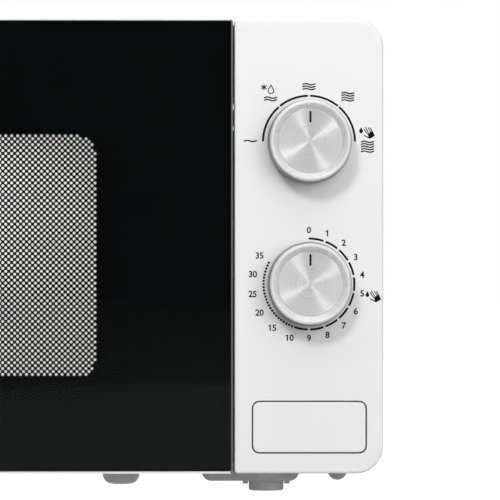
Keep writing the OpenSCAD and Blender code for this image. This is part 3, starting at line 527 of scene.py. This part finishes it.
def make_screen():
    """Punched screen: a lattice of diamond cells, each with a round hole, inside a pressed pan."""
    bm = bmesh.new()
    px, pz, hole, t = SCREEN_PITCH_X, SCREEN_PITCH_Z, SCREEN_HOLE_R, SCREEN_SHEET
    y = SL.y
    corners = {}

    def corner(ix, iz):
        key = (ix, iz)
        if key not in corners:
            corners[key] = bm.verts.new(((cx0 - ix * px / 2) * MM, y * MM, (cz0 - iz * pz / 2) * MM))
        return corners[key]

    cx0, cz0 = WIN_X1 - hole, WIN_Z1 - hole
    nx = int((WIN_X1 - WIN_X0 + 10) / (px / 2)) + 4
    nz = int((WIN_Z1 - WIN_Z0 + 12) / (pz / 2)) + 4
    rad = WINDOW_R
    for iz in range(-4, nz):
        for ix in range(-4, nx):
            if (ix + iz) % 2:
                continue
            x, z = cx0 - ix * px / 2, cz0 - iz * pz / 2
            if x < WIN_X0 - 5 or x > WIN_X1 + 5 or z < WIN_Z0 - 6 or z > WIN_Z1 + 6:
                continue
            c = [corner(ix - 1, iz), corner(ix, iz - 1), corner(ix + 1, iz), corner(ix, iz + 1)]
            dx = max(WIN_X0 + rad - x, x - (WIN_X1 - rad), 0)
            dz = max(WIN_Z0 + rad - z, z - (WIN_Z1 - rad), 0)
            if math.hypot(dx, dz) > rad - hole + 0.05:
                bm.faces.new(c)
                continue
            f = [bm.verts.new(((x + hole * math.cos(a)) * MM, y * MM, (z + hole * math.sin(a)) * MM))
                 for a in (math.pi * k / 4 for k in range(8))]
            b = [bm.verts.new((v.co.x, (y + t) * MM, v.co.z)) for v in f]
            for k in range(4):
                n = (k + 1) % 4
                bm.faces.new((c[k], f[2 * k], f[2 * k + 1]))
                bm.faces.new((c[k], f[2 * k + 1], c[n]))
                bm.faces.new((c[n], f[2 * k + 1], f[(2 * k + 2) % 8]))
            for k in range(8):
                bm.faces.new((f[k], b[k], b[(k + 1) % 8], f[(k + 1) % 8]))

    def p(d):
        return rr(SL.x, SH.x, SL.z, SH.z, 4.0, d)

    win = rr(WIN_X0 - 3, WIN_X1 + 3, WIN_Z0 - 3, WIN_Z1 + 3, 9.0)
    stack = [(win, y + 0.08), (p(0.8), y + 0.08), (p(0.2), y + 0.3), (p(0), y + 0.9), (p(0), SH.y),
             (p(0.8), SH.y), (p(0.8), y + 0.8), (win, y + 0.8)]
    rings = [ring(bm, pts, yy) for pts, yy in stack]
    for a, b in zip(rings, rings[1:] + rings[:1]):
        bridge(bm, a, b)
    return finish_piece("door_punched_screen", bm, [M["screen"]], "door", ("door_screen",),
                        30.0, False)


# ---------------------------------------------------------------- control panel
def make_panel():
    rad = (15.0, 15.0, 1.8, 1.8)
    y0, y1 = FACE_Y, PH.y
    inside = y0 + 3
    bx0, bx1 = BL.x - BUTTON_GAP, BH.x + BUTTON_GAP
    bz0, bz1 = BL.z - BUTTON_GAP, BH.z + BUTTON_GAP

    def o(d):
        return rr(PL.x, PH.x, PL.z, PH.z, rad, d, 14)

    def b(d):
        return rr(bx0, bx1, bz0, bz1, BUTTON_HOLE_R, -d, 8)

    outer = [(o(1.5), y0), (o(0.75), y0 + 0.13), (o(0.25), y0 + 0.5), (o(0), y0 + 1.3), (o(0), y1 - 8),
             (o(0), y1), (o(2.4), y1), (o(2.4), inside)]
    holes = [[(b(0.2), y0), (b(0.05), y0 + 0.06), (b(0), y0 + 0.25), (b(0), inside)]]
    for z in (KZ1, KZ2):
        bore = circle(KX, z, SHAFT_HOLE_R, 48)
        holes.append([(circle(KX, z, SHAFT_HOLE_R + 0.4, 48), y0), (bore, y0 + 0.4), (bore, inside)])
    pressed("control_fascia", outer, holes, M["panel"], "chassis", ("control_panel",))
    top, floor, back = y0 + 2.9, y0 + 18.5, y0 + 20.5
    stem_hole = rr(KX - 4.4, KX + 4.2, BL.z + 9.7, BH.z - 9.7, 4.0, 0, 8)
    # painted shade: a near-black liner fills the recess behind the button gap
    pressed("button_well", [(b(1.6), top), (b(1.6), back)],
            [[(b(0.02), top), (b(0.02), floor), (stem_hole, floor), (stem_hole, back)]],
            M["well"], "chassis")
    make_button()
    make_knob(KZ1, "power", M["disc1"])
    make_knob(KZ2, "timer", M["disc2"])


def make_button():
    y0 = BL.y
    inner = rr(BL.x + 2, BH.x - 2, BL.z + 2, BH.z - 2, 1.8, 0, 8)

    def s(d):
        return rr(BL.x, BH.x, BL.z, BH.z, 3.6, d, 8)

    cap_path = [(s(1.4), y0), (s(0.6), y0 + 0.04), (s(0.2), y0 + 0.16), (s(0.03), y0 + 0.4), (s(0), y0 + 0.8),
                (s(0), y0 + 11.5), (inner, y0 + 11.5), (inner, y0 + 2.5)]
    pressed("door_push_button", cap_path, [], M["button"], "button", ("door_button",))
    bxc, bzc = (BL.x + BH.x) / 2, (BL.z + BH.z) / 2
    end = y0 - BH.y
    prof = [(0, end), (2.6, end), (4.0, end + 1.4), (4.0, -2.2), (0, -2.2)]
    lathe("door_button_stem", prof, bxc, bzc, y0, [M["button"]], "button", (), 48)
    refine("button_spring", M["spring"], 0.0, "door_button_spring")


def make_knob(z, which, disc_mat):
    """A turned knob with a sleeve, a plated side with a painted dark reflection, a satin rim and a dished
    face of painted shade, then its disc and pointer.
    """
    dr = DISC_R
    body = which + "_dial"
    prof = [(3.05, -9), (5.4, -9), (5.95, -8.4), (5.95, 12), (20.3, 12), (20.55, 1.0), (20.9, 0.6),
            (22.6, 0.55), (23.0, 1.0), (22.82, 6.0), (22.62, 12.0), (22.42, 16.6), (22.3, 18.0),
            (22.08, 19.0), (21.7, 19.62), (21.2, 19.93), (20.7, 20.0), (20.2, 19.86), (19.75, 19.5),
            (19.1, 18.8), (18.45, 18.1), (17.95, 17.55), (17.72, 17.3), (dr + 0.03, 17.0),
            (dr + 0.03, 16.6), (3.05, 16.6), (3.05, -9)]
    prof = [(r * KNOB_R / KNOB_DRAWN_R if r > 18 else r, t * KNOB_OUT / KNOB_DRAWN_OUT if t > 0 else t)
            for r, t in prof]
    # band 1 is the side with the painted dark reflection, band 2 the dish with painted shade
    bands = [1 if 7 <= i <= 12 else 2 if 17 <= i <= 22 else 0 for i in range(len(prof) - 1)]
    lathe(which + "_dial_knob", prof, KX, z, FACE_Y, [M["knob"], M["knob_side"], M["knob_dish"]], body,
          (which + "_knob",), 180, bands)
    t0, t1 = 16.62, 17.4
    disc = [(0, t0), (dr, t0), (dr, t1 - 0.22), (dr - 0.12, t1 - 0.06), (dr - 0.3, t1), (12.0, t1),
            (6.0, t1), (0, t1)]
    lathe(which + "_dial_disc", disc, KX, z, FACE_Y, [disc_mat], body, (which + "_disc",), 180)
    p = rr(KX - 0.55, KX + 0.55, z + 9.9, z + 16.1, 0.22, 0, 4)
    pressed(which + "_dial_pointer", [(p, FACE_Y - t1 - 0.05), (p, FACE_Y - t1 + 0.05)], [], M["ink"],
            body)
    refine(which + "_shaft", M["shaft"], 0.2)


# ---------------------------------------------------------------- printed dial scales
class Print:
    """Flat printed marks, gathered into one piece."""

    def __init__(self):
        self.bm = bmesh.new()

    def strip(self, pts, width):
        """A line of even width with rounded ends through 2-D points."""
        n = len(pts)
        left, right = [], []
        for i, (x, z) in enumerate(pts):
            a, b = pts[max(0, i - 1)], pts[min(n - 1, i + 1)]
            dx, dz = b[0] - a[0], b[1] - a[1]
            q = math.hypot(dx, dz) or 1.0
            ux, uz = -dz / q * width / 2, dx / q * width / 2
            left.append((x + ux, z + uz))
            right.append((x - ux, z - uz))
        self.face(left + self.end(pts[-2], pts[-1], width) + right[::-1] + self.end(pts[1], pts[0], width))

    @staticmethod
    def end(a, b, width):
        ang = math.atan2(b[1] - a[1], b[0] - a[0])
        reach = width * 0.3
        return [(b[0] + reach * math.cos(ang + s), b[1] + reach * math.sin(ang + s)) for s in (0.6, 0, -0.6)]

    def face(self, pts):
        vs = [self.bm.verts.new((x * MM, INK_Y * MM, z * MM)) for x, z in pts]
        self.bm.faces.new(vs)

    def arc(self, cx, cz, r, a0, a1, width):
        n = max(4, int(abs(a1 - a0) / 2.0))
        self.strip([(cx + r * math.sin(math.radians(a0 + (a1 - a0) * i / n)),
                     cz + r * math.cos(math.radians(a0 + (a1 - a0) * i / n))) for i in range(n + 1)], width)

    def waves(self, cx, cz, count, w=6.9, gap=1.34, line=0.74):
        for k in range(count):
            z = cz + (k - (count - 1) / 2) * gap
            pts = [(cx - w / 2 + w * i / 20, z + 0.34 * math.sin(2 * math.pi * (i / 20) * 1.15 - 0.25))
                   for i in range(21)]
            self.strip(pts, line)

    def drop(self, cx, cz, s, line=None):
        pts = [(cx, cz + 1.35 * s)]
        for i in range(15):
            a = math.radians(40 - 260 * i / 14)
            pts.append((cx + s * 0.75 * math.cos(a), cz - 0.25 * s + s * 0.75 * math.sin(a)))
        if line is None:
            self.face(pts)
        else:
            self.strip(pts + [pts[0]], line)

    def flake(self, cx, cz, s, line=0.62):
        for k in range(3):
            a = math.radians(60 * k)
            ux, uz = math.sin(a), math.cos(a)
            self.strip([(cx - ux * s, cz - uz * s), (cx, cz), (cx + ux * s, cz + uz * s)], line)

    def hand(self, cx, cz):
        """An open hand reaching up to the left."""
        palm = ((-1.25, 0.1), (-0.3, -2.5), (2.65, -0.75), (2.3, 0.1), (1.6, 1.7), (0.25, 1.5), (-0.45, 0.55))
        fingers = ((-1.0, -0.2, -3.3, 2.9, 0.5), (-0.5, 0.35, -2.6, 3.95, 0.5), (0.4, 1.2, -1.05, 3.8, 0.5),
                   (1.4, 1.3, 0.1, 3.7, 0.56), (0.0, -2.15, -3.2, -0.5, 0.6))
        self.face([(cx + x, cz + z) for x, z in palm])
        for x0, z0, x1, z1, w in fingers:
            self.strip([(cx + x0, cz + z0), (cx + (x0 + x1) / 2, cz + (z0 + z1) / 2), (cx + x1, cz + z1)], w)

    def number(self, text, cx, cz, height):
        """Digits as filled outlines, with a flag added to a leading 1."""
        cu = bpy.data.curves.new("glyph", "FONT")
        cu.body = text
        cu.size = height / 0.73
        cu.align_x = "CENTER"
        cu.resolution_u = 4
        cu.space_character = 0.97
        cu.offset = 0.115
        ob = bpy.data.objects.new("glyph", cu)
        bpy.context.scene.collection.objects.link(ob)
        bpy.context.view_layer.update()
        me = bpy.data.meshes.new_from_object(ob.evaluated_get(bpy.context.evaluated_depsgraph_get()))
        zs = [v.co.y for v in me.vertices]
        mid = (min(zs) + max(zs)) / 2
        vs = [self.bm.verts.new(((cx + v.co.x) * MM, INK_Y * MM, (cz + v.co.y - mid) * MM))
              for v in me.vertices]
        for p in me.polygons:
            self.bm.faces.new([vs[i] for i in p.vertices])
        if text[0] == "1":
            bar = cx + min(v.co.x for v in me.vertices) + 0.25
            top = cz + max(zs) - mid
            self.strip([(bar - 0.85, top - 0.85), (bar - 0.4, top - 0.5), (bar, top - 0.2)], 0.42)
        bpy.data.objects.remove(ob)
        bpy.data.curves.remove(cu)
        bpy.data.meshes.remove(me)

    def done(self, name):
        bm = self.bm
        for f in bm.faces:
            f.normal_update()
            if f.normal.y > 0:
                f.normal_flip()
        ob = finish_piece(name, bm, [M["ink"]], "chassis", (), 30.0, False)
        s = ob.modifiers.new("ink", "SOLIDIFY")
        s.thickness = INK_THICK * MM
        s.offset = -1
        return ob


def make_prints():
    line = INK_LINE
    kx = KX - SCALE_SHIFT
    p = Print()
    r = POWER_SCALE_R
    for a0, a1 in ((-89.2, -41.6), (-38.4, -1.9), (1.9, 38.4), (41.6, 89.2)):
        p.arc(kx, KZ1, r, a0, a1, line)
    p.waves(kx - 32.0, KZ1 + 0.4, 1)
    p.flake(kx - 24.6, KZ1 + 29.7, 1.6)
    p.drop(kx - 20.8, KZ1 + 28.3, 2.05, 0.56)
    p.waves(kx - 21.0, KZ1 + 23.4, 2)
    p.waves(kx, KZ1 + 30.1, 3)
    p.waves(kx + 21.2, KZ1 + 24.6, 4)
    p.drop(kx + 28.5, KZ1 + 6.1, 1.45)
    p.hand(kx + 33.3, KZ1 + 4.0)
    p.waves(kx + 32.0, KZ1 - 2.7, 5)
    p.done("power_scale_print")
    p = Print()
    r = TIMER_SCALE_R
    for k in range(10):
        a0 = 20 * k + (0.2 if k == 0 else 2.0)
        p.arc(kx, KZ2, r, a0, 20 * (k + 1) - (1.6 if k == 9 else 2.0), line)
    for k in range(25):
        a = math.radians(202 + 4 * k)
        x, z = kx + r * math.sin(a), KZ2 + r * math.cos(a)
        p.face(circle(x, z, 0.66, 14))
    marks = [(str(k), 20 * k) for k in range(11)]
    marks += [(str(15 + 5 * k), 220 + 20 * k) for k in range(5)]
    for text, a in marks:
        q = 29.5 if len(text) == 1 else 31.2
        p.number(text, kx + q * math.sin(math.radians(a)), KZ2 + q * math.cos(math.radians(a)), DIGIT_HEIGHT)
    p.drop(kx + 31.9, KZ2 - 5.7, 1.4)
    p.hand(kx + 36.7, KZ2 - 7.6)
    p.done("timer_scale_print")


# ---------------------------------------------------------------- the other nodes keep the CAD shape, refined
# node, material, width of the eased edge in mm
REFINED = (
    ("waveguide", "galv", 0.2),
    ("waveguide_cover", "mica", 0.1),
    ("magnetron_tube", "copper", 0.4),
    ("magnetron_yoke", "galv", 0.2),
    ("magnetron_fins", "alu", 0.0),
    ("magnetron_filter_box", "galv", 0.3),
    ("transformer_core", "core", 0.3),
    ("transformer_windings", "winding", 0.6),
    ("hv_capacitor", "can", 0.5),
    ("capacitor_clamp", "screw", 0.1),
    ("hv_diode", "black", 0.1),
    ("filter_board", "board", 0.2),
    ("fan_motor", "core", 0.4),
    ("fan_duct", "duct", 0.3),
    ("fan_shaft", "shaft", 0.1),
    ("fan_blade", "blade", 0.2),
    ("lamp_holder", "duct", 0.3),
    ("oven_lamp", "bulb", 0.0),
    ("thermal_cutouts", "brass", 0.2),
    ("turntable_motor", "can", 0.5),
    ("turntable_shaft", "cream", 0.2),
    ("turntable_coupler", "cream", 0.5),
    ("control_bracket", "galv", 0.15),
    ("timer_unit", "timer", 0.5),
    ("power_selector", "timer", 0.5),
    ("release_lever", "lever", 0.3),
    ("latch_housing", "black", 0.3),
    ("interlock_switches", "black", 0.3),
    ("door_hinges", "screw", 0.25),
    ("roller_ring", "cream", 0.4),
    ("wheel_a", "cream", 0.3),
    ("wheel_b", "cream", 0.3),
    ("wheel_c", "cream", 0.3),
)


def make_rest():
    refine("outer_case", M["case"], 0.2)
    refine("rear_panel", M["rear"], 0.15)
    refine("base_plate", M["base"], 0.25)
    refine("feet", M["foot"], 0.3)
    refine("case_screws", M["screw"], 0.25)
    refine("cord_inlet", M["rubber"], 0.4)
    for n in ("cavity_front_plate", "cavity_shell", "cavity_floor", "cavity_rear_wall"):
        refine(n, M["enamel"], 0.2)
    for n, m, w in REFINED:
        refine(n, M[m], w)
    refine("glass_tray", M["tray"], 0.5, None, 3, 25.0)


# ---------------------------------------------------------------- studio, in metres
FLOOR_HALF = 40
KEY_BACK = 1.36              # key light, in front of the panel
CAMERA_BACK = 2.3            # camera, in front of the panel
CAMERA_X = 0.111
CAMERA_DROP = 0.1484         # camera below the panel's top edge
CAMERA_LENS = 303.5
AIM_LEFT = 0.0727818         # point looked at, from the panel's top right corner
AIM_DOWN = 0.1260168


def aim(ob, at):
    ob.rotation_euler = (Vector(at) - ob.location).to_track_quat("-Z", "Y").to_euler()


def softbox(name, at, to, size, watts, colour=(1, 1, 1), size_y=None):
    li = bpy.data.lights.new(name, "AREA")
    li.energy = watts
    li.size = size
    li.color = colour
    if size_y:
        li.shape = "RECTANGLE"
        li.size_y = size_y
    ob = bpy.data.objects.new(name, li)
    bpy.context.scene.collection.objects.link(ob)
    ob.location = at
    aim(ob, to)
    ob.visible_camera = False
    return ob


def make_studio():
    sc = bpy.context.scene
    me = bpy.data.meshes.new("studio_floor")
    h = FLOOR_HALF
    me.from_pydata([(-h, -h, 0), (h, -h, 0), (h, h, 0), (-h, h, 0)], [], [(0, 1, 2, 3)])
    fl = bpy.data.objects.new("studio_floor", me)
    sc.collection.objects.link(fl)
    f = Nodes("floor_white")
    f.link(f.ramp(f.noise(1.5, 2.0), "Fac", [(0.3, 0.25), (0.7, 0.27)]), "Color", f.b, "Base Color")
    f.set(Roughness=0.9)
    xyz = f.add("ShaderNodeSeparateXYZ")
    f.link(f.mapped((0.025, 0.025, 1), (0, 0, 0), (0, 1, 0)), "Vector", xyz, "Vector")
    # painted light: the floor glows at full strength under and behind the oven and falls off to dim grey
    # towards the front, as if lit from behind
    glow = f.ramp(xyz, "Y", [(0.0, 0.08), (0.8, 0.22), (0.95, 0.33), (0.99, 0.35), (0.9939, 1.0)])
    f.link(glow, "Color", f.b, "Emission Color")
    f.b.inputs["Emission Strength"].default_value = 1.0
    me.materials.append(f.mat)
    fl.visible_diffuse = False

    world = bpy.data.worlds.new("studio_world")
    sc.world = world
    world.use_nodes = True
    t = world.node_tree
    t.nodes.clear()
    out = t.nodes.new("ShaderNodeOutputWorld")
    mix = t.nodes.new("ShaderNodeMixShader")
    soft = t.nodes.new("ShaderNodeBackground")
    soft.inputs["Color"].default_value = (0.98, 0.99, 1.0, 1)
    soft.inputs["Strength"].default_value = 0.15
    seen = t.nodes.new("ShaderNodeBackground")
    seen.inputs["Color"].default_value = (1, 1, 1, 1)
    seen.inputs["Strength"].default_value = 1.0
    lp = t.nodes.new("ShaderNodeLightPath")
    t.links.new(lp.outputs["Is Camera Ray"], mix.inputs[0])
    t.links.new(soft.outputs[0], mix.inputs[1])
    t.links.new(seen.outputs[0], mix.inputs[2])
    t.links.new(mix.outputs[0], out.inputs["Surface"])

    face = FACE_Y * MM
    kx, kz = KX * MM, (KZ1 + KZ2) / 2 * MM
    dials = (kx, face, kz)
    key = softbox("key", (kx - 0.27 * KEY_BACK, face - KEY_BACK, kz + 0.55 * KEY_BACK), dials, 0.26, 7.6)
    key.visible_glossy = False
    fill = softbox("fill", (kx + 0.7, face - 2.35, 0.5), dials, 1.6, 36)
    fill.visible_glossy = False
    fill.visible_transmission = False
    # the two glints light only what reflects: the wedges on the spun discs
    for name, right, up, watts in (("glint_a", -0.6, 1.2, 9.5), ("glint_b", 1.15, 0.66, 7.5)):
        glint = softbox(name, (kx + right, face - 2.0, kz + up), dials, 0.2, watts)
        glint.visible_diffuse = False
    softbox("front_top", (kx, face - 1.0, 1.15), (kx, face, 0.24), 1.4, 3.2, (1, 1, 1), 0.6)
    softbox("top", (0, 0.1, 2.4), (0, 0, 0.1), 2.0, 30)
    softbox("back", (-0.6, 2.6, 1.5), (0, 0.1, 0.1), 1.6, 38)
    cx, cy = (CL.x + CH.x) / 2 * MM, (CL.y + CH.y) / 2 * MM
    softbox("cavity_glow", (cx, cy, CH.z * MM - 0.012), (cx, cy, 0), 0.2, 0.42, (1, 0.99, 0.97))

    cam = bpy.data.cameras.new("camera")
    cam.sensor_width = 36
    cam.lens = CAMERA_LENS
    cam.clip_end = 200
    ob = bpy.data.objects.new("camera", cam)
    sc.collection.objects.link(ob)
    ob.location = (CAMERA_X, face - CAMERA_BACK, PH.z * MM - CAMERA_DROP)
    aim(ob, (PH.x * MM - AIM_LEFT, face, PH.z * MM - AIM_DOWN))
    sc.camera = ob
    sc.view_settings.view_transform = "Standard"
    sc.view_settings.look = "None"


make_door()
make_panel()
make_prints()
make_rest()
make_studio()
bpy.context.view_layer.update()
